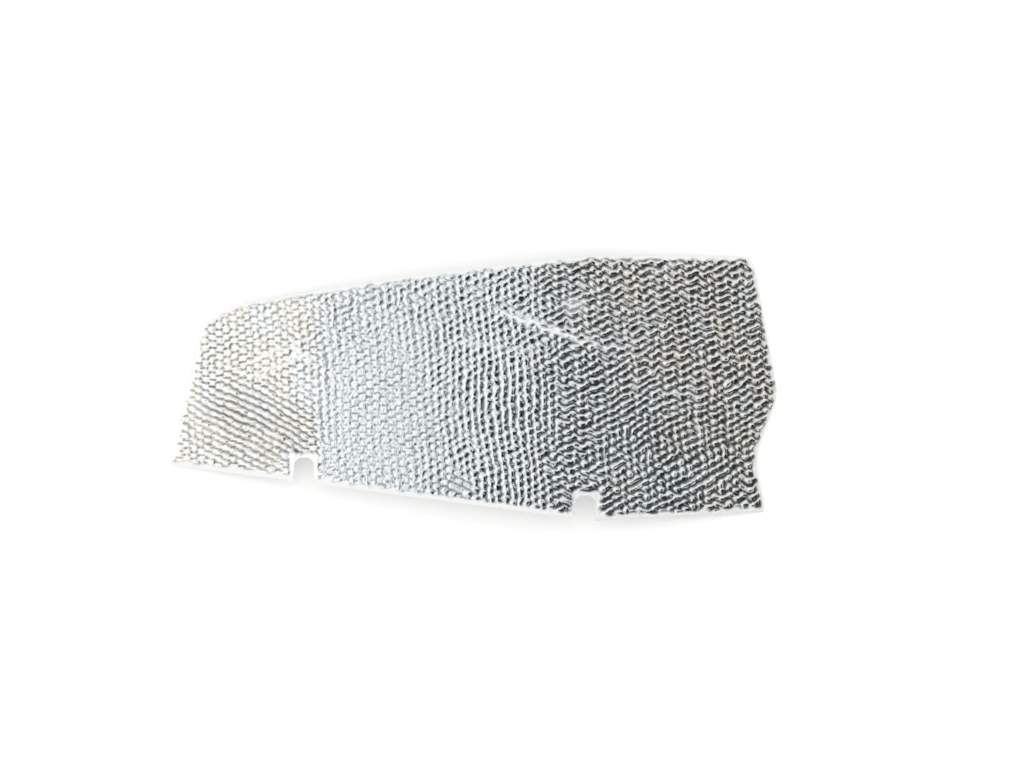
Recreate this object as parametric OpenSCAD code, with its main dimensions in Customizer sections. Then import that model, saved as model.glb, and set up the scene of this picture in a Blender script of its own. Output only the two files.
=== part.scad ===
// Exhaust heat shield: one pressed sheet of embossed aluminium.
// X runs along the shield, Y across it and Z up from the surface it lies on.
// The origin lies on that surface, under the middle of the shield.

/* [Outline] */
// Length from the lower left corner to the round tip of the right end
shield_l = 374; // [330:1:420]
// Width between the lowest and the highest line of the outline
shield_w = 165; // [150:1:185]
// Height of the lower left corner above the lowest line
left_rise = 35; // [25:1:45]
// Length of the slanting left end, measured across the shield
left_end_w = 90; // [70:1:95]
// How far the left end slants inward on its way up
left_slant = 20; // [12:1:28]
// Length of the cut corner at the top left
corner_l = 23; // [14:1:32]
// Height of the cut corner at the top left
corner_h = 9.5; // [5:0.5:14]
// Place along the shield where both long edges turn level
level_x = 72; // [40:1:100]
// Fall of the upper edge from its highest line to where it turns level
level_fall = 1.5; // [0:0.5:4]
// Bow of the rising stretch of the upper edge
upper_bow = 1.8; // [0:0.2:4]
// Rise of the lower edge from its lowest point to the right corner
right_rise = 6; // [1:0.5:10]
// Distance from the lower right corner out to the round tip
tip_out = 9; // [6:0.5:13]
// Distance from the lower right corner in to the waist
waist_in = 4.5; // [2:0.5:7]
// Distance of the waist below the middle line
waist_down = 45; // [40:1:52]
// Distance from the lower right corner in to the upper right corner
top_in = 5.5; // [2:0.5:10]
// Length of the cut at the upper right corner
top_cut = 4; // [2:0.5:8]

/* [Notches] */
// Width of each fixing notch
notch_w = 12.4; // [8:0.2:18]
// Depth of each fixing notch
notch_d = 15; // [10:0.5:22]
// Radius of the inner corners of each fixing notch
notch_r = 5; // [1:0.5:6]
// Place of the left notch along the shield
notch_left_x = -104; // [-125:1:-80]
// Place of the right notch along the shield
notch_right_x = 68; // [40:1:100]

/* [Sheet] */
// Thickness of the sheet
sheet_t = 0.8; // [0.5:0.1:1.5]
// Width of the smooth rim that the press leaves along both long edges and round the notches
rim_w = 3; // [2:0.5:5]
// Width of the smooth rim at both ends
end_rim_w = 1; // [0.5:0.5:4]
// Width of the band in which the bumps fade into the rim
fade_w = 4; // [2:0.5:8]
// Drop of the rim along both long edges
lip_drop = 1.5; // [0.5:0.1:3]

/* [Emboss] */
// Distance from each bump to the next
pitch = 6.5; // [6.5:0.1:10]
// Height of the bumps above the hollows between them
bump_h = 1.5; // [0.4:0.1:2.2]
// Lean of the rows of bumps from upright, in degrees
row_lean = 4; // [0:1:6]
// Rows at the right end that spread to follow its curve
fan_rows = 12; // [8:1:16]
// Place along the shield from which every other row of bumps runs together upright
upright_from = -12; // [-40:1:20]
// Height of the saddles in those rows, as a share of the bumps
upright_fill = 0.6; // [0:0.1:0.9]
// Place along the shield from which the bumps run together into ridges that rise to the right
ridges_from = 48; // [30:1:90]
// Height on the left panel below which they run together into ridges that fall to the right
ridges_below = 2; // [-20:1:30]
// Bumps in each stretch of ridge
ridge_bumps = 2; // [1:1:6]

/* [Folds] */
// Place of the fold that sets off the left panel
fold_x = -94; // [-110:1:-80]
// Bend at that fold, in degrees
fold_angle = 4; // [0:0.5:10]
// Radius of the bend at that fold
fold_reach = 5; // [2:1:12]
// Place of the soft ridge across the shield
ridge_x = 22; // [0:1:50]
// Bend at the soft ridge, in degrees
ridge_angle = 9; // [5:0.5:14]
// Reach of the soft ridge on each side of its line
ridge_reach = 40; // [20:1:60]
// Height of the slanting crease
crease_h = 1; // [0:0.1:2.5]
// Reach of the slanting crease on each side of its line
crease_reach = 6; // [4:0.5:9]

/* [Hidden] */

left_x = -shield_l / 2;
tip_x = shield_l / 2;
low_y = -shield_w / 2;
high_y = shield_w / 2;
end_x = tip_x - tip_out;
waist_x = end_x - waist_in;
top_x = end_x - top_in;

// Corners of the outline, counted from the lower left one
corner_a = [left_x, low_y + left_rise];
corner_b = corner_a + [left_slant, left_end_w];
corner_c = [end_x, low_y + right_rise];
corner_d = [top_x, high_y - top_cut];

rise_from = corner_b + [corner_l, corner_h];
rise_to = [level_x, high_y - level_fall];
lower_edge = [corner_a, [level_x, low_y], corner_c];
top_edge = [
    corner_b,
    rise_from,
    (rise_from + rise_to) / 2 + [0, upper_bow],
    rise_to,
    [top_x - top_cut, high_y],
    corner_d
];
upper_edge = [corner_a, each top_edge];

// The slanting crease runs down to the right across the upper half
crease_from = [16, 45];
crease_to = [103, 16];

row_step = pitch * sqrt(3) / 2;
bump_step = pitch / 2;
rows = round(shield_l / row_step);

// Least gap between a bump and the line of the rim, as a share of the step between them
rim_gap = 0.4;
// Points of two rows count as level within this height
level_gap = 0.01;
// Sides of a whole circle in the corners of the notches
notch_fn = 48;

function smooth(a, b, v) =
    let (t = min(max((v - a) / (b - a), 0), 1))
    t * t * (3 - 2 * t);

// Soft corner of a bend: a straight slope on both sides of a round middle
function bend(u, reach, angle) = tan(angle / 2) * (sqrt(u * u + reach * reach) - reach);

function lower(x) = lookup(x, lower_edge);
function upper(x) = lookup(x, upper_edge);
function across(edge, x) = cos(atan((lookup(x + pitch / 2, edge) - lookup(x - pitch / 2, edge)) / pitch));

// The left end slants in on its way up
function left_end(y) = left_x + left_slant * (y - corner_a[1]) / left_end_w;

// The right end: a waist below, a round tip in the middle and a taper to the upper corner
function right_end(y) =
    y < -waist_down
        ? waist_x + waist_in * smooth(-waist_down, corner_c[1], y)
        : y < 0
            ? waist_x + (tip_x - waist_x) * smooth(-waist_down, 0, y)
            : tip_x + (top_x - tip_x) * (y / high_y);

// Place of a point of one row at the height y. The last row is the right end, the one before
// it ends the bumps at the rim, and the rows before that share its shift.
function row_x(row, y) =
    let (
        first_x = left_x - tan(row_lean) * (y - corner_a[1]),
        shift = right_end(y) - end_rim_w - first_x - (rows - 1) * row_step
    )
    row == rows
        ? right_end(y)
        : first_x + row * row_step + shift * max(row + 1 - rows + fan_rows, 0) / fan_rows;

// Height at which a row meets an edge of the outline
function meet(row, edge, y = 0, tries = 8) =
    tries == 0 ? y : meet(row, edge, lookup(row_x(row, y), edge), tries - 1);

// Distance outside a fixing notch
function off_notch(x, y, notch_x) =
    norm([max(abs(x - notch_x) - notch_w / 2, 0), max(y - lower(notch_x) - notch_d, 0)]);

// Distance from both long edges and from the notches
function off_edge(x, y) = min(
    (y - lower(x)) * across(lower_edge, x),
    (lookup(x, top_edge) - y) * across(top_edge, x),
    off_notch(x, y, notch_left_x),
    off_notch(x, y, notch_right_x)
);

// Distance from both ends
function off_end(x, y) = min(x - left_end(y), right_end(y) - x);

// Share of their height that the bumps keep near the rims
function swell(x, y) = min(
    smooth(rim_w, rim_w + fade_w, off_edge(x, y)),
    smooth(end_rim_w, end_rim_w + fade_w, off_end(x, y))
);

function off_crease(x, y) =
    let (
        run = crease_to - crease_from,
        t = ((x - crease_from[0]) * run[0] + (y - crease_from[1]) * run[1]) / (run * run)
    )
    norm([x, y] - crease_from - min(max(t, 0), 1) * run);

// Height of the plain sheet: two bends, the crease and the dropped rim of the long edges
function form(x, y) =
    let (
        top_lip = smooth(corner_b[0], corner_b[0] + corner_l, x),
        low_drop = 1 - smooth(0, rim_w, y - lower(x)),
        top_drop = top_lip * (1 - smooth(0, rim_w, upper(x) - y))
    )
    crease_h * (1 - smooth(0, crease_reach, off_crease(x, y)))
    - bend(x - fold_x, fold_reach, fold_angle)
    - bend(x - ridge_x, ridge_reach, ridge_angle)
    - lip_drop * max(low_drop, top_drop);

// The shield lies on three of its corners, so its height is counted from the plane through them
function lifted(corner) = [corner[0], corner[1], form(corner[0], corner[1])];
rest = lifted(corner_a);
rest_normal = cross(lifted(corner_c) - rest, lifted(corner_d) - rest);

function height(x, y) = (lifted([x, y]) - rest) * rest_normal / rest_normal[2];

// Share of the height of the bumps at one point of a row: 1 on a bump, 0 in a hollow
// and a part of it on the saddles of an upright ridge
function share(row, k) =
    let (x = row_x(row, k * bump_step))
    (row + k) % 2 == 0 ? 1
        : row % 2 == 0 && x > upright_from && x < ridges_from ? upright_fill
        : 0;

// One row from edge to edge: heights along it, each with its share of the height of the bumps
function row_marks(row) =
    let (
        low = meet(row, lower_edge),
        high = meet(row, upper_edge),
        first = ceil((low + rim_w) / bump_step + rim_gap),
        last = floor((high - rim_w) / bump_step - rim_gap)
    )
    row == 0
        ? [[corner_a[1], 0]]
        : [
            [low, 0],
            [low + rim_w, 0],
            for (k = [first:1:last]) [k * bump_step, share(row, k)],
            [high - rim_w, 0],
            [high, 0]
        ];

marks = [for (row = [0:rows]) row_marks(row)];
ground = min([for (row = [0:rows]) for (mark = marks[row]) height(row_x(row, mark[0]), mark[0])]);

function points(lift) = [
    for (row = [0:rows]) for (mark = marks[row])
        let (x = row_x(row, mark[0]), y = mark[0])
        [x, y, height(x, y) - ground + lift + bump_h * mark[1] * swell(x, y)]
];

function total(list, n) = n == 0 ? 0 : total(list, n - 1) + len(list[n - 1]);
starts = [for (row = [0:rows + 1]) total(marks, row)];
count = starts[rows + 1];

// Way in which a bump runs on to the next row at the height y: 1 up, -1 down, 0 not at all.
// The stretches of ridge beside each other end at different rows.
function run_on(row, y) =
    let (
        x = row_x(row, y),
        way = x > ridges_from ? 1 : x < fold_x && y < ridges_below ? -1 : 0,
        ridge = floor((round(y / bump_step) - way * row) / 2)
    )
    (row + ridge) % ridge_bumps == 0 ? 0 : way;

// Next step when two rows are laced together: up the row whose next point is lower. Between
// level points the lace joins two hollows, or two bumps where they run on in a ridge.
function next(row, at) =
    let (
        a = marks[row],
        b = marks[row + 1],
        gap = at[0] == len(a) - 1 ? 1
            : at[1] == len(b) - 1 ? -1
            : a[at[0] + 1][0] - b[at[1] + 1][0],
        way = run_on(row, b[at[1]][0]),
        first = way == 0 ? b[at[1]][1] < 1 : way < 0
    )
    gap < -level_gap || (gap < level_gap && first) ? [at[0] + 1, at[1]] : [at[0], at[1] + 1];

function lace(row) =
    let (
        goal = len(marks[row]) + len(marks[row + 1]) - 2,
        a = starts[row],
        b = starts[row + 1]
    )
    [
        for (at = [0, 0]; at[0] + at[1] < goal; at = next(row, at))
            let (to = next(row, at))
            [a + at[0], to[0] > at[0] ? a + to[0] : b + to[1], b + at[1]]
    ];

face = [for (row = [0:rows - 1]) each lace(row)];
rim = concat(
    [for (row = [0:rows]) starts[row]],
    [for (k = [starts[rows] + 1:count - 1]) k],
    [for (row = [rows - 1:-1:1]) starts[row + 1] - 1]
);

module embossed_sheet() {
    polyhedron(
        points = concat(points(sheet_t), points(0)),
        faces = concat(
            face,
            [for (f = face) [f[0] + count, f[2] + count, f[1] + count]],
            [for (k = [0:len(rim) - 1])
                let (from = rim[k], to = rim[(k + 1) % len(rim)])
                each [[from, to, to + count], [from, to + count, from + count]]
            ]
        )
    );
}

module notch(x) {
    top = lower(x) + notch_d;
    translate([x, 0, -sheet_t])
        linear_extrude(shield_w) {
            for (side = [-1, 1])
                translate([side * (notch_w / 2 - notch_r), top - notch_r])
                    circle(notch_r, $fn = notch_fn);
            translate([notch_r - notch_w / 2, top - notch_r])
                square([notch_w - 2 * notch_r, notch_r]);
            translate([-notch_w / 2, top - 2 * notch_d])
                square([notch_w, 2 * notch_d - notch_r]);
        }
}

module heat_shield() {
    color("silver")
        difference() {
            embossed_sheet();
            notch(notch_left_x);
            notch(notch_right_x);
        }
}

heat_shield();
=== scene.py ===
"""Exhaust heat shield: one pressed sheet of embossed aluminium, lying on a pale studio floor.

The sheet is worked out in millimetres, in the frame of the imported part, and put into its mesh
in metres. X runs along the shield, Y across it and Z up from the floor.
"""

import math

import bpy
import numpy as np
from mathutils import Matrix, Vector


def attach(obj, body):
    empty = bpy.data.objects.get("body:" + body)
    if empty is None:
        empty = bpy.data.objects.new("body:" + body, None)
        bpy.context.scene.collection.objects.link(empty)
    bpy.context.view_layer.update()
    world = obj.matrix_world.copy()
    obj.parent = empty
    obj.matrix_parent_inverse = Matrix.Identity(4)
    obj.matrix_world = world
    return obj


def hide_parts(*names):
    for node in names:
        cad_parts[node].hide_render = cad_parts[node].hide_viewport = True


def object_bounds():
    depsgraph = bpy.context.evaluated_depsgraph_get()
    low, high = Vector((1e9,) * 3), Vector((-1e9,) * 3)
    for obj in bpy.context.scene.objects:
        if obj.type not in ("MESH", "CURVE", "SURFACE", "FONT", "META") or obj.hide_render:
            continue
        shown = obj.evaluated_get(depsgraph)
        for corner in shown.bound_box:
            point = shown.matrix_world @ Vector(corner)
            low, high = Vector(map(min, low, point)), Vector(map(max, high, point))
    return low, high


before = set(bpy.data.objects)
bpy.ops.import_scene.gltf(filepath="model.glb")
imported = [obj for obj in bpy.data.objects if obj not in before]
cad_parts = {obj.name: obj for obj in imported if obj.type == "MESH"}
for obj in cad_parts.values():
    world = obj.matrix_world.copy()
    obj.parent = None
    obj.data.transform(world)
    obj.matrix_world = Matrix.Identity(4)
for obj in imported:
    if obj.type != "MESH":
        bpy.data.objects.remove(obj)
cad_low, cad_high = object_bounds()

MM = 0.001
# Size of the photograph, its scale and the pixel at the middle of the shield, for the camera
PHOTO_W = 1024
PHOTO_H = 768
MM_PER_PIXEL = 0.615
MIDDLE_PIXEL = (474, 387)

# Outline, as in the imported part, a hair inside its box
SHIELD_L = (cad_high.x - cad_low.x) / MM
SHIELD_H = cad_high.z / MM
SHIELD_W = 164.9
LEFT_RISE = 35.0
LEFT_END_W = 90.0
LEFT_SLANT = 20.0
CORNER_L = 23.0
CORNER_H = 9.5
LEVEL_X = 72.0
LEVEL_FALL = 1.5
UPPER_BOW = 1.8
RIGHT_RISE = 6.0
TIP_OUT = 9.0
WAIST_IN = 4.5
WAIST_DOWN = 45.0
TOP_IN = 5.5
TOP_CUT = 4.0

# Fixing notches
NOTCH_W = 12.4
NOTCH_D = 15.0
NOTCH_R = 5.0
NOTCH_X = (-104.0, 68.0)
CORNER_POINTS = 9

# Sheet, the drop of its lower rim and the widths of its bare rims
SHEET_T = 0.8
RIM_W = 3.0
LIP_DROP = 1.5
BARE_RIM_W = 2.1
TOP_RIM_W = 0.5
END_RIM_W = 0.4
NOTCH_RIM_W = 1.5
RIM_WAVE = 0.8
FADE_W = 1.8
# Share of the emboss that still shows through on a rim
RIM_EMBOSS = 0.12

# Folds
FOLD_X = -94.0
FOLD_ANGLE = 4.0
FOLD_REACH = 5.0
RIDGE_X = 22.0
RIDGE_ANGLE = 9.0
RIDGE_REACH = 40.0
CREASE = ((16.0, 45.0), (103.0, 16.0))
CREASE_H = 1.0
CREASE_REACH = 6.0

# Handling marks: the sharp crest of the crease, a kink beside it, rubbed streaks on the left
# panel and a place where the press rubbed the bumps flat
CREST_H = 0.65
CREST_REACH = 2.6
CREST_FADE = 0.7
KINK = ((-11.0, 27.0), (37.0, 21.0))
KINK_H = 0.35
STREAKS = (
    ((-139.0, 15.0), (-96.0, 33.0)),
    ((-134.0, 7.0), (-108.0, 18.0)),
    ((-111.0, 24.0), (-101.0, 16.5)),
)
STREAK_H = 0.4
STREAK_REACH = 2.2
RUB = (61.0, 51.0)
RUB_REACH = (10.0, 6.0)
MARK_WAVE = 0.9

# Emboss: spacing and angle of two waves of rows, read from the photograph. Rows of the first
# rise, rows of the second fall, and their sum makes the upright rows
WAVE_DOWN = (4.37, -62.0)
WAVE_UP = (4.10, 63.0)
# Swing of the wavy crests: a quarter turn takes them over the middle of each bump
WAVE_SWING = 0.36 * math.pi
# Pull of the press on the sheet: how far it moves the rows, and the size that it repeats after.
# A slow one and two small ones, of which the calm middle loses a share
SLOW_PULL = (0.8, 70)
SMALL_PULLS = ((0.42, 15), (0.13, 8))
CALM_LOSS = 0.55

# Changes along the shield, with where each begins and ends: the left panel, the wavy rows,
# rounder crowns, deeper bumps, fuller hollows, thicker dirt and painted shade, and the patches of
# the warm film
PANEL_STEP = (FOLD_X + 4, FOLD_X - 6)
WAVY_STEP = (40, 58)
ROUND_STEP = (10, 70)
DEEP_STEP = (-50, 60)
FILL_STEP = (30, 60)
THICK_STEP = (20, 60)
PATCHY_STEP = (60, 100)

# Soft ovals, as middle and reach: the calm middle, the ridged patch low on the left panel, which
# leans, and low on the right the rising ridges and the separate bumps
CALM_MIDDLE = ((-62, -18), (62, 84))
RIDGED_PATCH = ((-144, -25), (52, 40))
PATCH_LEAN = 0.3
LOW_RIGHT = ((139, -55), (30, 13))
SEPARATE_BUMPS = ((120, -42), (66, 36))
# Other places where the bumps run together, each with its strength, middle and reach
UPRIGHT_PLACES = (
    (1, (18, -8), (44, 44)),
    (1, (20, -58), (26, 26)),
    (0.45, (FOLD_X + 6, -10), (14, 44)),
    (0.5, (-12, 34), (52, 22)),
    (0.5, (152, -28), (26, 30)),
)
FALLING_PLACES = (
    (1, (-9, -62), (15, 12)),
    (0.45, (100, 58), (64, 40)),
)
RISING_PLACES = ((0.3, (86, -6), (30, 32)),)
# Strength of the upright, the rising and the falling rows: a base, and what places of upright,
# rising, falling and wavy ridges and of flat cells add to it
ROWS = (
    (0.95, 0.75, 0, -0.45, -0.4, -0.2),
    (0.8, -0.15, 0.9, -0.3, -0.25, 0.15),
    (0.8, -0.15, -0.25, 0.8, -0.25, 0.15),
)
LEAST_STRENGTH = 0.05
# Unevenness of these rows: the size that it repeats after, its strength, and what the calm
# places and the right half add to it
UNEVEN_SIZE = 16
UNEVEN = 0.3
CALM_UNEVEN = -0.18
RIGHT_UNEVEN = 0.2
# The wavy rows of the right half: their strength, its unevenness and size, and how much they
# lose where upright or rising ridges and where separate bumps lie
WAVY = 0.9
WAVY_UNEVEN = 0.4
WAVY_SIZE = 20
LOST_TO_RIDGES = 0.35
LOST_TO_BUMPS = 0.85

# Power of the section of the bumps: broad crowns on the left, rounder ones on the right and
# the widest and flattest in the calm places
BROAD_POWER = 2.6
ROUND_POWER = 1.1
CALM_POWER = 4.2
# Share of their flatness that the cells lose on the left panel
LOST_ON_PANEL = 0.35
# Full height of the bumps and the share of it that they have at the left end, with what other
# places add to it
BUMP_H = 1.15
LEAST_DEPTH = 0.36
RIDGED_DEPTH = 0.4
RIGHT_DEPTH = 0.6
CALM_DEPTH = -0.15
PANEL_DEPTH = 0.13
# Share of a hollow that dirt and painted shade fill, and how thick it lies; the right half's extra
# is painted shade
LEAST_FILL = 0.15
PANEL_FILL = 0.05
FLAT_FILL = -0.05
RIDGED_FILL = -0.05
RIGHT_FILL = 0.23
LEAST_THICK = 0.72
PANEL_THICK = 0.14
RIGHT_THICK = 0.28

# Patterns of the metal, in noise cells a metre: blotches in the dirt and painted shade of the
# hollows about 22 mm wide, marks of the press about 2 mm wide, and grain about 0.7 mm wide. Real
# rolled grain is far finer than a pixel and would not show, so it is drawn that coarse
BLOTCHES = 45.0
PRESS_MARKS = 520.0
GRAIN = 1500.0

# Grid of the sheet: its columns, the shelf line above the lower edge with the rows below and
# above it, and how far from each notch the columns are shared out anew
COLUMN_STEP = 0.9
SHELF = 30.0
SHELF_ROWS = 36
UPPER_ROWS = 156
NOTCH_ZONE = 21.0
# Shares of its columns: those that the slanting end draws in, and where the round end begins
SLANT_SHARE = 0.4
FAN_FROM = 0.8
SHARP_ANGLE = 60.0

left_x = -SHIELD_L / 2
tip_x = SHIELD_L / 2
low_y = -SHIELD_W / 2
high_y = SHIELD_W / 2
end_x = tip_x - TIP_OUT
waist_x = end_x - WAIST_IN
top_x = end_x - TOP_IN
corner_a = np.array([left_x, low_y + LEFT_RISE])
corner_b = corner_a + [LEFT_SLANT, LEFT_END_W]
corner_c = np.array([end_x, low_y + RIGHT_RISE])
corner_d = np.array([top_x, high_y - TOP_CUT])
rise_from = corner_b + [CORNER_L, CORNER_H]
rise_to = np.array([LEVEL_X, high_y - LEVEL_FALL])
LOWER = np.array([corner_a, [LEVEL_X, low_y], corner_c])
UPPER = np.array([
    corner_a,
    corner_b,
    rise_from,
    (rise_from + rise_to) / 2 + [0, UPPER_BOW],
    rise_to,
    [top_x - TOP_CUT, high_y],
    corner_d,
])


def smooth(a, b, v):
    """Soft step: 0 below a, 1 above b, and 3tt - 2ttt between them."""
    t = np.clip((v - a) / (b - a), 0, 1)
    return t * t * (3 - 2 * t)


def lower(x):
    """Height of the lower edge at x: straight between its corners."""
    return np.interp(x, LOWER[:, 0], LOWER[:, 1])


def upper(x):
    """Height of the upper edge at x, the left end and the cut corner included."""
    return np.interp(x, UPPER[:, 0], UPPER[:, 1])


def right_end(y):
    """Right end at the height y: a waist below, a round tip in the middle, a taper to the top."""
    below = waist_x + WAIST_IN * smooth(-WAIST_DOWN, corner_c[1], y)
    middle = waist_x + (tip_x - waist_x) * smooth(-WAIST_DOWN, 0, y)
    above = tip_x + (top_x - tip_x) * (y / high_y)
    return np.where(y < -WAIST_DOWN, below, np.where(y < 0, middle, above))


def bend(u, reach, angle):
    """Fold of a given angle: half its tangent times the root of uu + rr, less r."""
    return math.tan(math.radians(angle / 2)) * (np.sqrt(u * u + reach * reach) - reach)


def off_line(x, y, line):
    """Distance from a straight stretch, and the share of its length at the nearest point."""
    start = np.array(line[0])
    run = np.array(line[1]) - start
    t = np.clip(((x - start[0]) * run[0] + (y - start[1]) * run[1]) / (run @ run), 0, 1)
    return np.hypot(x - start[0] - t * run[0], y - start[1] - t * run[1]), t


def form(x, y):
    """Height of the plain sheet: a fold, a soft ridge and a crease, less the drop of the rim."""
    at_lower = 1 - smooth(0, RIM_W, y - lower(x))
    at_upper = 1 - smooth(0, RIM_W, upper(x) - y)
    drop = np.maximum(at_lower, smooth(corner_b[0], rise_from[0], x) * at_upper)
    crease = CREASE_H * (1 - smooth(0, CREASE_REACH, off_line(x, y, CREASE)[0]))
    return (crease - bend(x - FOLD_X, FOLD_REACH, FOLD_ANGLE)
            - bend(x - RIDGE_X, RIDGE_REACH, RIDGE_ANGLE) - LIP_DROP * drop)


def height(x, y):
    """Form above the plane through the three corners that the sheet lies on."""
    a, c, d = (np.array([*p, float(form(*p))]) for p in (corner_a, corner_c, corner_d))
    normal = np.cross(c - a, d - a)
    return form(x, y) - a[2] + (normal[0] * (x - a[0]) + normal[1] * (y - a[1])) / normal[2]


def off_rims(x, y):
    """Distance past the nearest rim: from each edge, across its slope, less the width of its rim."""
    left_end = left_x + LEFT_SLANT * (y - corner_a[1]) / LEFT_END_W
    top = np.interp(x, UPPER[1:, 0], UPPER[1:, 1])
    past = np.minimum(y - lower(x) - BARE_RIM_W, top - y - TOP_RIM_W)
    past = np.minimum(past, x - left_end - END_RIM_W)
    past = np.minimum(past, right_end(y) - x - END_RIM_W)
    for notch_x in NOTCH_X:
        beside = np.maximum(np.abs(x - notch_x) - NOTCH_W / 2, 0)
        above = np.maximum(y - lower(notch_x) - NOTCH_D, 0)
        past = np.minimum(past, np.hypot(beside, above) - NOTCH_RIM_W)
    return past


def wander(x, y, size, seed):
    """Uneven slow field from about -1 to 1: the mean of six sines that run different ways, each
    repeating after about the given size."""
    chance = np.random.default_rng(seed)
    field = np.zeros_like(x)
    for turn in range(6):
        a = math.pi * (turn + chance.uniform(0, 1)) / 6
        way = x * math.cos(a) + y * math.sin(a)
        reach = size * chance.uniform(0.7, 1.4)
        field += np.sin(2 * math.pi * way / reach + chance.uniform(0, 6.28))
    return field / 2.4


def zone(x, y, place, reach):
    """Soft oval: 1 at its middle and 0 past its reach, both in millimetres."""
    return 1 - smooth(0.3, 1, np.hypot((x - place[0]) / reach[0], (y - place[1]) / reach[1]))


def strongest(x, y, places):
    """Strength of the strongest of some soft ovals at each point."""
    return np.maximum.reduce([strength * zone(x, y, *oval) for strength, *oval in places])


def left_panel(x):
    """1 on the panel left of the fold and 0 on the rest of the sheet."""
    return smooth(*PANEL_STEP, x)


def ridged_patch(x, y):
    """Soft patch low on the left panel, where the bumps run together into falling ridges."""
    return left_panel(x) * zone(x + PATCH_LEAN * y, y, *RIDGED_PATCH)


def calm(x, y):
    """Places where the bumps stay apart, as light cells with thin outlines: the left panel and
    the middle."""
    return np.maximum(left_panel(x), zone(x, y, *CALM_MIDDLE))


def flat_cells(x, y):
    """Share of wide flat cells at each place: all the calm middle and, less so, the left panel
    outside its ridged patch."""
    return calm(x, y) * (1 - LOST_ON_PANEL * left_panel(x)) * (1 - ridged_patch(x, y))


def pulled(x, y, small, seeds):
    """Uneven shift of a place by the press: a slow one, and small ones times the given share."""
    shifts = [reach * wander(x, y, size, seed)
              for (reach, size), seed in zip((SLOW_PULL, *SMALL_PULLS), seeds)]
    return shifts[0] + small * (shifts[1] + shifts[2])


def waves(x, y):
    """Phases of the two crossing waves, each the way along its direction over its spacing.
    Uneven shifts stand for the pull of the press on the rolled sheet, less of it in the middle."""
    small = 1 - CALM_LOSS * zone(x, y, *CALM_MIDDLE)
    sx = x + pulled(x, y, small, (1, 2, 13))
    sy = y + pulled(x, y, small, (3, 4, 14))
    phases = []
    for spacing, angle in (WAVE_DOWN, WAVE_UP):
        a = math.radians(angle)
        phases.append(2 * math.pi * (sx * math.cos(a) + sy * math.sin(a)) / spacing)
    return phases


def weights(x, y):
    """Strength of the upright, the rising, the falling and the wavy level rows at each place. Even
    rows make separate bumps, and the strongest one laces them into its ridges."""
    right = smooth(*WAVY_STEP, x)
    upright = strongest(x, y, UPRIGHT_PLACES)
    falling = np.maximum(ridged_patch(x, y), strongest(x, y, FALLING_PLACES))
    low_right = zone(x, y, *LOW_RIGHT)
    rising = np.maximum(low_right, strongest(x, y, RISING_PLACES))
    wavy = right * (1 - low_right) * (1 - LOST_TO_RIDGES * np.maximum(rising, upright))
    wavy *= 1 - LOST_TO_BUMPS * zone(x, y, *SEPARATE_BUMPS)
    places = (upright, rising, falling, wavy, flat_cells(x, y))
    change = UNEVEN + CALM_UNEVEN * calm(x, y) + RIGHT_UNEVEN * right
    strengths = []
    for (base, *shares), seed in zip(ROWS, (5, 6, 7)):
        strength = base + sum(share * place for share, place in zip(shares, places))
        strength += change * wander(x, y, UNEVEN_SIZE, seed)
        strengths.append(np.maximum(strength, LEAST_STRENGTH))
    return [*strengths, wavy * (WAVY + WAVY_UNEVEN * wander(x, y, WAVY_SIZE, 15))]


def emboss(x, y):
    """Level of the emboss, from 1 on the crowns to 0 in the hollows: the mean of three cosines,
    weighed by where the bumps run together into ridges, and of a fourth, whose level crests wave
    up and down from one column of bumps to the next. It is spread over its own range, which goes
    down to -1/2 where three even rows cross and further where the wavy ridges are strong."""
    down, up = waves(x, y)
    w_across, w_down, w_up, w_wavy = weights(x, y)
    wavy = np.cos((up - down) / 2 + WAVE_SWING * (np.cos((up + down) / 2) - 1))
    total = w_across + w_down + w_up + w_wavy
    mean = w_across * np.cos(down + up) + w_down * np.cos(down) + w_up * np.cos(up) + w_wavy * wavy
    least = 0.5 + 0.4 * w_wavy / total
    return np.clip((mean / total + least) / (1 + least), 0, 1)


def crowned(x, y, level):
    """Section of a bump at the level t: 1 - (1 - t) to a power, which makes broad crowns and narrow
    hollows, and the more so the greater the power."""
    power = BROAD_POWER + (ROUND_POWER - BROAD_POWER) * smooth(*ROUND_STEP, x)
    return 1 - (1 - level) ** (power + (CALM_POWER - power) * flat_cells(x, y))


def depth(x, y):
    """Share of the full height that the bumps have: small on the left, more in the ridged patch and
    most in the right half, with some unevenness everywhere."""
    share = (LEAST_DEPTH + RIDGED_DEPTH * ridged_patch(x, y) + RIGHT_DEPTH * smooth(*DEEP_STEP, x)
             + CALM_DEPTH * calm(x, y) + PANEL_DEPTH * left_panel(x))
    return share * (1 + 0.3 * wander(x, y, 8, 8) + 0.12 * wander(x, y, 45, 9))


def marks(x, y):
    """Strength of the crest of the crease, which fades along its second half, of the kink, of the
    streaks and of the rubbed place, from 1 on the mark to 0 past its reach."""
    wavy_x = x + MARK_WAVE * wander(x, y, 12, 11)
    wavy_y = y + MARK_WAVE * wander(x, y, 12, 12)
    off, way = off_line(wavy_x, wavy_y, CREASE)
    crest = (1 - smooth(0, CREST_REACH, off)) * (1 - CREST_FADE * smooth(0.5, 1, way))
    kink = 1 - smooth(0, CREST_REACH, off_line(wavy_x, wavy_y, KINK)[0])
    off_streaks = np.minimum.reduce([off_line(wavy_x, wavy_y, line)[0] for line in STREAKS])
    streak = 1 - smooth(0, STREAK_REACH, off_streaks)
    return crest, kink, streak, zone(x, y, RUB, RUB_REACH)


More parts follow.
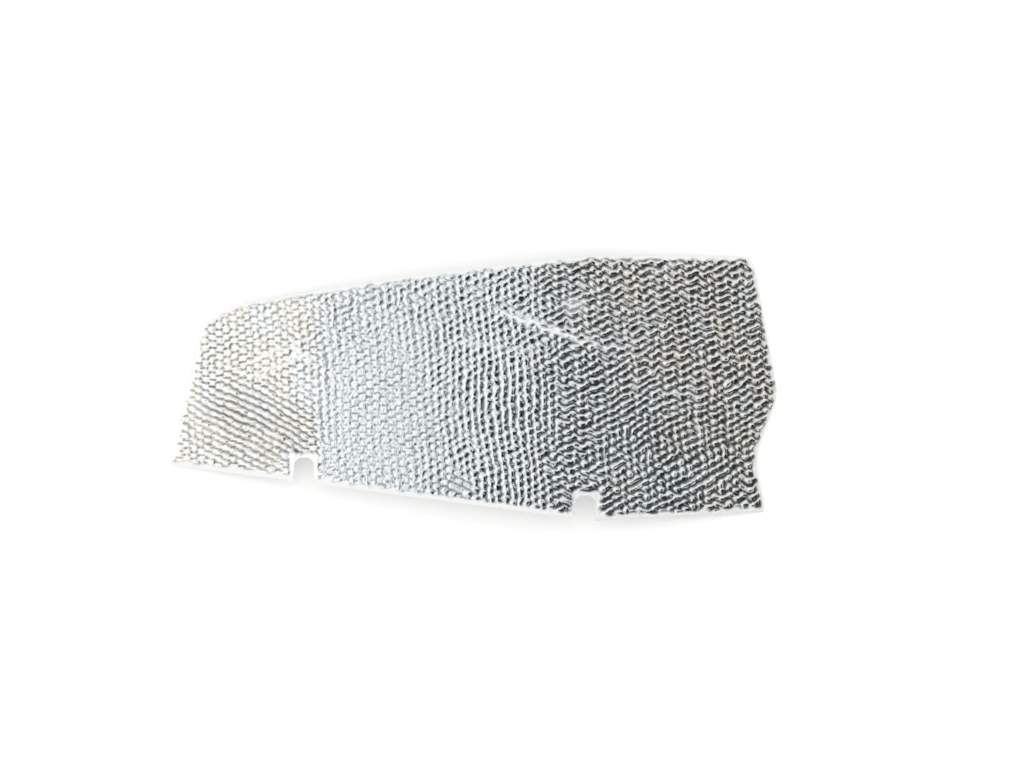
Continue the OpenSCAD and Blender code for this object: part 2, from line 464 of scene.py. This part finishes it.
def hollow_dirt_and_shade(x, y, level):
    """Dirt and painted shade in the hollows: each is filled up to a share of its depth that is
    greatest in the right half, and the mark lies thicker on the left panel and thickest in the right
    half, where the extra is painted shade."""
    fill = (LEAST_FILL + PANEL_FILL * left_panel(x) + FLAT_FILL * flat_cells(x, y)
            + RIDGED_FILL * ridged_patch(x, y) + RIGHT_FILL * smooth(*FILL_STEP, x))
    thick = LEAST_THICK + PANEL_THICK * left_panel(x) + RIGHT_THICK * smooth(*THICK_STEP, x)
    return thick * (1 - smooth(0.3 * fill, fill, level))


def warmth(x, y):
    """Share of the warm film: strong at both ends, and patchy on the left panel and at the right."""
    ends = 0.8 * smooth(FOLD_X + 12, FOLD_X - 26, x) + 0.8 * smooth(70, 140, x + 0.6 * y)
    patchy = 0.1 + 0.25 * left_panel(x) + 0.25 * smooth(*PATCHY_STEP, x)
    return np.clip(ends + patchy * wander(x, y, 34, 10), 0, 1)


def notch_path(notch_x):
    """Lower edge round one notch, from left to right: mouth, wall, two round corners, wall."""
    half = NOTCH_W / 2
    turn = np.linspace(0, math.pi / 2, CORNER_POINTS)
    left = np.stack([
        notch_x - half + NOTCH_R * (1 - np.cos(turn)),
        lower(notch_x) + NOTCH_D - NOTCH_R * (1 - np.sin(turn)),
    ], 1)
    right = np.stack([2 * notch_x - left[::-1, 0], left[::-1, 1]], 1)
    mouth = [[notch_x - half, lower(notch_x - half)]]
    return np.concatenate([mouth, left, right, [[notch_x + half, lower(notch_x + half)]]])


def length(path):
    """Way along the points of a path, from 0 at its first point."""
    return np.concatenate([[0], np.cumsum(np.hypot(*np.diff(path, axis=0).T))])


def along(path, count):
    """Points spread evenly along a path of straight stretches."""
    way = length(path)
    spread = np.linspace(0, way[-1], count)
    return np.stack([np.interp(spread, way, path[:, k]) for k in (0, 1)], 1)


def lower_and_shelf():
    """Points of the lower edge, and of the shelf line above it, one pair for each column.
    The lower edge runs up and round each notch, and the shelf line passes straight over it,
    with its columns shared out by the length of each stretch of the edge."""
    paths, stops = [], [left_x]
    for notch_x in NOTCH_X:
        start, end = notch_x - NOTCH_ZONE, notch_x + NOTCH_ZONE
        around = notch_path(notch_x)
        beside = NOTCH_ZONE - NOTCH_W / 2
        part = 2 * NOTCH_ZONE * beside / (2 * beside + length(around)[-1])
        paths += [
            [[stops[-1], lower(stops[-1])], [start, lower(start)]],
            [[start, lower(start)], around[0]],
            around,
            [around[-1], [end, lower(end)]],
        ]
        stops += [start, start + part, end - part, end]
    paths.append([[stops[-1], lower(stops[-1])], corner_c])
    stops.append(end_x)
    edge, shelf = [], []
    for path, a, b in zip(paths, stops, stops[1:]):
        count = 2 * round((b - a) / COLUMN_STEP / 2) + 1
        edge.append(along(np.array(path), count)[:-1])
        shelf.append(np.linspace(a, b, count)[:-1])
    return np.concatenate([*edge, [corner_c]]), np.concatenate([*shelf, [end_x]])


def sheet_grid():
    """X and Y of the grid: columns from the lower edge over the shelf line to the upper edge,
    drawn in at the left by the slanting end and shaped at the right by the curved end."""
    edge, shelf = lower_and_shelf()
    share = (shelf - left_x) / (end_x - left_x)
    drawn_in = LEFT_SLANT * SHELF / LEFT_END_W * (1 - smooth(0, SLANT_SHARE, share))
    middle = np.stack([shelf + drawn_in, lower(shelf) + SHELF])
    top_way = np.interp(share, [0, 1], [corner_b[0], corner_d[0]])
    top = np.stack([top_way, upper(top_way)])
    v_low = np.linspace(0, 1, SHELF_ROWS + 1)[:, None]
    v_high = np.linspace(0, 1, UPPER_ROWS + 1)[1:, None]
    x, y = (np.concatenate([a + v_low * (b - a), b + v_high * (c - b)])
            for a, b, c in zip(edge.T, middle, top))
    fan = np.clip((share - FAN_FROM) / (1 - FAN_FROM), 0, 1)
    return x + fan * (right_end(y[:, -1:]) - x[:, -1:]), y


def grid_faces(rows, columns, start=0):
    """Two triangles for each cell of a grid of rows by columns, wound anticlockwise."""
    i = (np.arange(rows - 1)[:, None] * columns + np.arange(columns - 1)).ravel() + start
    return np.concatenate([
        np.stack([i, i + 1, i + columns + 1], 1),
        np.stack([i, i + columns + 1, i + columns], 1),
    ])


def border(rows, columns):
    """Indices round a grid, anticlockwise from its first point, without the last repeat."""
    grid = np.arange(rows * columns).reshape(rows, columns)
    return np.concatenate([grid[0, :-1], grid[:-1, -1], grid[-1, :0:-1], grid[:0:-1, 0]])


def make_mesh(name, points, faces):
    """Mesh of triangles from whole arrays, in metres."""
    mesh = bpy.data.meshes.new(name)
    mesh.vertices.add(len(points))
    mesh.vertices.foreach_set("co", (points * MM).astype(np.float32).ravel())
    mesh.loops.add(faces.size)
    mesh.loops.foreach_set("vertex_index", faces.astype(np.int32).ravel())
    mesh.polygons.add(len(faces))
    mesh.polygons.foreach_set("loop_start", np.arange(0, faces.size, 3, dtype=np.int32))
    mesh.polygons.foreach_set("loop_total", np.full(len(faces), 3, np.int32))
    mesh.update(calc_edges=True)
    mesh.validate()
    return mesh


def thickened(front):
    """Points and triangles of the sheet: its front, its back straight below by its thickness, and
    a wall all round. The back has every second row and column, so a step of its border takes three
    triangles."""
    back = front[::2, ::2] - [0, 0, SHEET_T]
    rows, columns = front.shape[:2]
    b_rows, b_columns = back.shape[:2]
    first = rows * columns
    ring = border(rows, columns)
    under = border(b_rows, b_columns) + first
    a, b, c = ring[::2], ring[1::2], np.roll(ring[::2], -1)
    d, e = under, np.roll(under, -1)
    faces = [
        grid_faces(rows, columns),
        grid_faces(b_rows, b_columns, first)[:, ::-1],
        np.stack([b, a, d], 1),
        np.stack([b, d, e], 1),
        np.stack([c, b, e], 1),
    ]
    points = np.concatenate([front.reshape(-1, 3), back.reshape(-1, 3)])
    return points, np.concatenate(faces)


def heat_shield():
    """The sheet: its folded form, raised by the bumps, which fade out at the rims and are pressed
    flatter on the marks, and by the marks themselves. Three numbers for each point tell the
    material where the dirt and painted shade, the warm film and the bare metal with its painted
    highlight are."""
    x, y = sheet_grid()
    swell = smooth(0, FADE_W, off_rims(x, y) + RIM_WAVE * wander(x, y, 9, 16))
    crest, kink, streak, rub = marks(x, y)
    sharp = smooth(0.4, 0.95, crest)
    flat = np.maximum.reduce([streak, kink, rub])
    keep = (RIM_EMBOSS + (1 - RIM_EMBOSS) * swell) * (1 - 0.85 * sharp) * (1 - 0.4 * flat)
    level = emboss(x, y)
    bumps = crowned(x, y, level) * keep * depth(x, y)
    z = height(x, y) + CREST_H * crest + KINK_H * kink + STREAK_H * streak + BUMP_H * bumps
    front = np.stack([x, y, np.minimum(z - z.min() + SHEET_T, SHIELD_H)], 2)
    mesh = make_mesh("heat_shield_sheet", *thickened(front))
    mesh.polygons.foreach_set("use_smooth", np.ones(len(mesh.polygons), bool))
    mesh.set_sharp_from_angle(angle=math.radians(SHARP_ANGLE))
    fields = {
        # Dark mark in the hollows: partly dirt, partly painted shade, and the extra in the right
        # half is painted shade
        "hollow_dirt_and_shade": keep * hollow_dirt_and_shade(x, y, level),
        "warmth": warmth(x, y),
        # Bare matt rims, the crest of the crease, the kink, the streaks and the rubbed place, which
        # the material whitens as a painted highlight
        "rim": np.maximum.reduce([1 - swell, sharp, 0.5 * rub, 0.4 * kink, 0.6 * streak]),
    }
    for name, field in fields.items():
        values = np.concatenate([field.ravel(), field[::2, ::2].ravel()]).astype(np.float32)
        mesh.attributes.new(name, "FLOAT", "POINT").data.foreach_set("value", values)
    piece = bpy.data.objects.new("heat_shield_sheet", mesh)
    bpy.context.scene.collection.objects.link(piece)
    return piece


def linear(hex_colour):
    """Linear colour of an sRGB hex value."""
    srgb = [int(hex_colour[k:k + 2], 16) / 255 for k in (1, 3, 5)]
    return (*(c / 12.92 if c <= 0.04045 else ((c + 0.055) / 1.055) ** 2.4 for c in srgb), 1.0)


def add_node(tree, kind, links=(), **settings):
    """New node with its settings, and links given as (its input, other node, output)."""
    node = tree.nodes.new(kind)
    for key, value in settings.items():
        if key.startswith("in_"):
            slot = key[3:]
            slot = int(slot) if slot.isdigit() else slot.replace("_", " ")
            node.inputs[slot].default_value = value
        else:
            setattr(node, key, value)
    for socket, other, output in links:
        tree.links.new(other.outputs[output], node.inputs[socket])
    return node


def embossed_aluminium():
    """Soft aluminium sheet, cold rolled and then pressed between pattern rolls: bright crowns that
    mirror the room a little unevenly, dull dirt and painted shade in the hollows, a thin warm film
    at both ends, and bare whitish rims and marks, where the metal is scuffed matt, their whiteness
    partly a painted highlight."""
    material = bpy.data.materials.new("cold_rolled_embossed_aluminium")
    material.use_nodes = True
    tree = material.node_tree
    tree.nodes.clear()
    place = add_node(tree, "ShaderNodeTexCoord")
    in_hollows = add_node(tree, "ShaderNodeAttribute", attribute_name="hollow_dirt_and_shade")
    blotch = add_node(tree, "ShaderNodeTexNoise", [("Vector", place, "Object")],
                      in_Scale=BLOTCHES, in_Detail=4.0)
    uneven = add_node(tree, "ShaderNodeMapRange", [("Value", blotch, "Fac")],
                      in_1=0.35, in_2=0.65, in_3=0.65, in_4=1.0)
    # Dirt and painted shade in the hollows, made uneven by the blotches
    dirt_and_shade = add_node(tree, "ShaderNodeMath", [(0, in_hollows, "Fac"), (1, uneven, 0)],
                    operation="MULTIPLY")
    warm = add_node(tree, "ShaderNodeAttribute", attribute_name="warmth")
    film = add_node(tree, "ShaderNodeMix", [("Factor", warm, "Fac")], data_type="RGBA",
                    in_6=linear("#E8EDEE"), in_7=linear("#EDE9E1"))
    # Dark grey of the hollows: dirt and painted shade
    colour = add_node(tree, "ShaderNodeMix", [("Factor", dirt_and_shade, 0), (6, film, 2)], data_type="RGBA",
                      in_7=linear("#45494B"))
    rim = add_node(tree, "ShaderNodeAttribute", attribute_name="rim")
    # Rims and marks mixed to near white: bare matt metal and a painted highlight
    whole = add_node(tree, "ShaderNodeMix", [("Factor", rim, "Fac"), (6, colour, 2)],
                     data_type="RGBA", in_7=linear("#FFFFFD"))
    rough = add_node(tree, "ShaderNodeMapRange", [("Value", dirt_and_shade, 0)], in_3=0.16, in_4=0.42)
    fine = add_node(tree, "ShaderNodeTexNoise", [("Vector", place, "Object")],
                    in_Scale=GRAIN, in_Detail=3.0)
    press = add_node(tree, "ShaderNodeTexNoise", [("Vector", place, "Object")],
                     in_Scale=PRESS_MARKS, in_Detail=2.0)
    grain = add_node(tree, "ShaderNodeBump", [("Height", fine, "Fac")],
                     in_Strength=0.12, in_Distance=0.2 * MM)
    relief = add_node(tree, "ShaderNodeBump", [("Height", press, "Fac"), ("Normal", grain, 0)],
                      in_Strength=0.7, in_Distance=0.6 * MM)
    bare = add_node(tree, "ShaderNodeMapRange", [("Value", rim, "Fac")], in_3=1.0, in_4=0.15)
    shader = add_node(tree, "ShaderNodeBsdfPrincipled",
                      [("Base Color", whole, 2), ("Roughness", rough, 0), ("Metallic", bare, 0),
                       ("Normal", relief, 0)])
    add_node(tree, "ShaderNodeOutputMaterial", [("Surface", shader, 0)])
    return material


def studio_floor():
    """White studio floor. Seen by the camera or in the metal it glows a little, so that it renders
    white but for the shadow; the object is lit by its plain colour alone."""
    material = bpy.data.materials.new("white_studio_floor")
    material.use_nodes = True
    tree = material.node_tree
    tree.nodes.clear()
    ray = add_node(tree, "ShaderNodeLightPath")
    seen = add_node(tree, "ShaderNodeMath", [(0, ray, "Is Camera Ray"), (1, ray, "Is Glossy Ray")],
                    operation="MAXIMUM")
    glow = add_node(tree, "ShaderNodeMath", [(0, seen, 0)], operation="MULTIPLY", in_1=0.28)
    plain = add_node(tree, "ShaderNodeBsdfDiffuse", in_Color=linear("#EDEDEB"))
    light = add_node(tree, "ShaderNodeEmission", [("Strength", glow, 0)], in_Color=linear("#FFFFFF"))
    mix = add_node(tree, "ShaderNodeAddShader", [(0, plain, 0), (1, light, 0)])
    add_node(tree, "ShaderNodeOutputMaterial", [("Surface", mix, 0)])
    half = 3.0
    corners = [(-half, -half, 0), (half, -half, 0), (half, half, 0), (-half, half, 0)]
    mesh = bpy.data.meshes.new("studio_floor")
    mesh.from_pydata(corners, [], [(0, 1, 2, 3)])
    mesh.materials.append(material)
    floor = bpy.data.objects.new("studio_floor", mesh)
    bpy.context.scene.collection.objects.link(floor)
    return floor


def soft_lamp(name, place, target, size, power):
    """Square soft box at a place in millimetres, turned to a target."""
    light = bpy.data.lights.new(name, "AREA")
    light.size = size * MM
    light.energy = power
    lamp = bpy.data.objects.new(name, light)
    lamp.location = Vector(place) * MM
    lamp.rotation_euler = (Vector(target) - Vector(place)).to_track_quat("-Z", "Y").to_euler()
    bpy.context.scene.collection.objects.link(lamp)


def studio_light():
    """A broad soft box over the left end, a small one behind, and a plain pale room. The metal
    mirrors the room as it stands: a ceiling that is pale on the left and behind and goes dark to
    the right and the front, and pale walls below it, all round and higher up behind and on the
    left. Only mirrored rays see the difference; all others see the plain room."""
    soft_lamp("key_soft_box", (-560, 60, 600), (-20, 0, 0), 860, 0.85)
    soft_lamp("rear_soft_box", (160, 520, 620), (80, 0, 0), 420, 0.12)
    world = bpy.data.worlds.new("studio_room")
    bpy.context.scene.world = world
    world.use_nodes = True
    tree = world.node_tree
    tree.nodes.clear()
    way = add_node(tree, "ShaderNodeTexCoord")
    parts = add_node(tree, "ShaderNodeSeparateXYZ", [(0, way, "Generated")])
    side = add_node(tree, "ShaderNodeMapRange", [("Value", parts, "X")],
                    interpolation_type="SMOOTHSTEP", in_1=0.0, in_2=0.22)
    front = add_node(tree, "ShaderNodeMapRange", [("Value", parts, "Y")],
                     interpolation_type="SMOOTHSTEP", in_1=0.38, in_2=0.14)
    shade = add_node(tree, "ShaderNodeMath", [(0, side, 0), (1, front, 0)], operation="MULTIPLY")
    ceiling = add_node(tree, "ShaderNodeMix", [("Factor", shade, 0)], data_type="RGBA",
                       in_6=linear("#ECEDEF"), in_7=linear("#1A1C1E"))
    slant = add_node(tree, "ShaderNodeMath", [(0, parts, "X"), (2, parts, "Z")],
                     operation="MULTIPLY_ADD", in_1=0.3)
    tilt = add_node(tree, "ShaderNodeMath", [(0, parts, "Y"), (2, slant, 0)],
                    operation="MULTIPLY_ADD", in_1=-0.4)
    low = add_node(tree, "ShaderNodeMapRange", [("Value", tilt, 0)],
                   interpolation_type="SMOOTHSTEP", in_1=0.74, in_2=0.5)
    wall = add_node(tree, "ShaderNodeMapRange", [("Value", parts, "Z")],
                    interpolation_type="SMOOTHSTEP", in_1=0.54, in_2=0.26)
    pale = add_node(tree, "ShaderNodeMath", [(0, low, 0), (1, wall, 0)], operation="MAXIMUM")
    whole = add_node(tree, "ShaderNodeMix", [("Factor", pale, 0), (6, ceiling, 2)],
                     data_type="RGBA", in_7=linear("#EEEFF0"))
    ray = add_node(tree, "ShaderNodeLightPath")
    either = add_node(tree, "ShaderNodeMix", [("Factor", ray, "Is Glossy Ray"), (7, whole, 2)],
                      data_type="RGBA", in_6=linear("#F2F3F3"))
    room = add_node(tree, "ShaderNodeBackground", [("Color", either, 2)], in_Strength=1.0)
    add_node(tree, "ShaderNodeOutputWorld", [("Surface", room, 0)])


def photo_camera():
    """Camera high above the notched edge, framed so that the shield fills the photograph's pixels.
    Its distance is the width of the view times the lens over the sensor."""
    lens, sensor, elevation, aim_height = 85.0, 36.0, math.radians(84.0), 10
    view_w = PHOTO_W * MM_PER_PIXEL
    aim = Vector(((PHOTO_W / 2 - MIDDLE_PIXEL[0]) * MM_PER_PIXEL,
                  (MIDDLE_PIXEL[1] - PHOTO_H / 2) * MM_PER_PIXEL, aim_height)) * MM
    back = Vector((0, -math.cos(elevation), math.sin(elevation)))
    camera = bpy.data.objects.new("photo_camera", bpy.data.cameras.new("photo_camera"))
    camera.data.lens = lens
    camera.data.sensor_width = sensor
    camera.location = aim + back * view_w * MM * lens / sensor
    camera.rotation_euler = (-back).to_track_quat("-Z", "Y").to_euler()
    bpy.context.scene.collection.objects.link(camera)
    bpy.context.scene.camera = camera


photo_camera()
studio_floor()
studio_light()
sheet = heat_shield()
sheet.data.materials.append(embossed_aluminium())
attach(sheet, "root")
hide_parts("heat_shield")
bpy.context.scene.view_settings.view_transform = "Standard"
